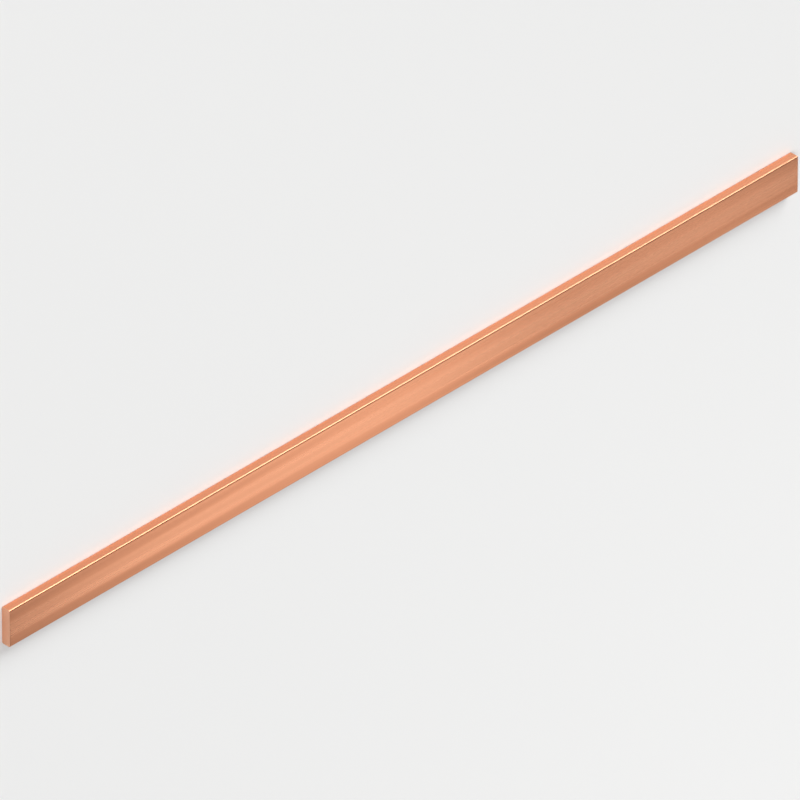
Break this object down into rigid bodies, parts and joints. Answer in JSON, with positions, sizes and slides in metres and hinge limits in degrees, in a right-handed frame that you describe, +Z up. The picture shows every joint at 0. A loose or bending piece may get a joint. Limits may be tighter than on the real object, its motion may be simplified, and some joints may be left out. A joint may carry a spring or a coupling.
{
  "type": "copper busbar",
  "caption": "Flat rectangular copper bar with rounded long edges and square sawn ends, bolted or clamped along its length to carry heavy current in switchgear and distribution boards.",
  "frame": {"origin": "centre of the bar's footprint, on the broad face that it lies on", "axes": "+X along the length, +Y across the width, +Z up through the thickness"},
  "size_m": [1, 0.04, 0.01],
  "materials": {
    "copper": "satin"
  },
  "bodies": {
    "root": {"busbar": "copper"}
  },
  "joints": []
}
